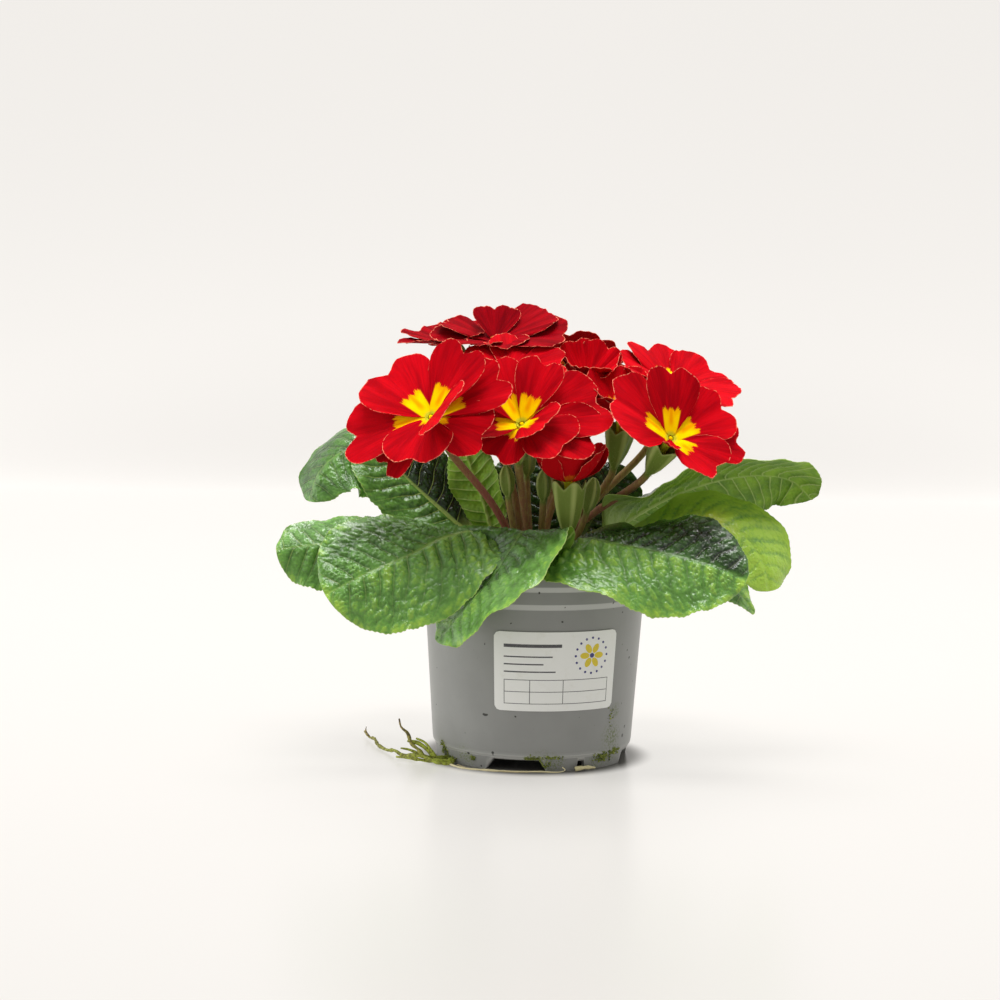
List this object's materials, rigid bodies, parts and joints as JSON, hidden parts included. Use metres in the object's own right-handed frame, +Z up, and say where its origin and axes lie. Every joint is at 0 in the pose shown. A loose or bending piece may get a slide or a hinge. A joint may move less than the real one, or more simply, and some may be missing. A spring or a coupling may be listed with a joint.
{
  "type": "potted primrose",
  "caption": "Flowering primrose with broad toothed leaves, heart-petalled blooms on hairy stalks and buds, growing in a tapered plastic nursery pot with a plain sticker.",
  "frame": {"origin": "middle of the pot's foot, on the surface that it stands on", "axes": "+Z up along the pot's axis, -Y towards the side with the sticker, +X to the right of someone who faces the sticker"},
  "size_m": [0.2514, 0.1798, 0.21],
  "materials": {
    "pot_plastic": "satin",
    "label_paper": "satin",
    "peat_soil": "matte",
    "leaf": "satin",
    "petal": "matte",
    "stalk": "matte",
    "dry_root": "matte"
  },
  "bodies": {
    "root": {"pot": "pot_plastic", "label": "label_paper", "soil": "peat_soil", "leaf_back": "leaf", "leaf_back_left": "leaf", "leaf_back_right": "leaf", "leaf_front": "leaf", "leaf_front_left": "leaf", "leaf_front_right": "leaf", "leaf_hanging_right": "leaf", "leaf_inner_back": "leaf", "leaf_inner_left": "leaf", "leaf_inner_right": "leaf", "leaf_left": "leaf", "leaf_under_right": "leaf", "leaf_upper_left": "leaf", "leaf_upper_right": "leaf", "leaf_upright_left": "leaf", "bloom_back_petals": "petal", "bloom_back_stem": "stalk", "bloom_front_left_petals": "petal", "bloom_front_left_stem": "stalk", "bloom_front_petals": "petal", "bloom_front_right_petals": "petal", "bloom_front_right_stem": "stalk", "bloom_front_stem": "stalk", "bloom_half_open_petals": "petal", "bloom_half_open_stem": "stalk", "bloom_left_petals": "petal", "bloom_left_stem": "stalk", "bloom_low_right_petals": "petal", "bloom_low_right_stem": "stalk", "bloom_middle_left_petals": "petal", "bloom_middle_left_stem": "stalk", "bloom_middle_right_petals": "petal", "bloom_middle_right_stem": "stalk", "bloom_right_petals": "petal", "bloom_right_stem": "stalk", "bloom_top_petals": "petal", "bloom_top_stem": "stalk", "bud_back": "stalk", "bud_front": "stalk", "bud_front_left": "stalk", "bud_right": "stalk", "root_fine": "dry_root", "root_long": "dry_root", "root_short": "dry_root"}
  },
  "joints": []
}
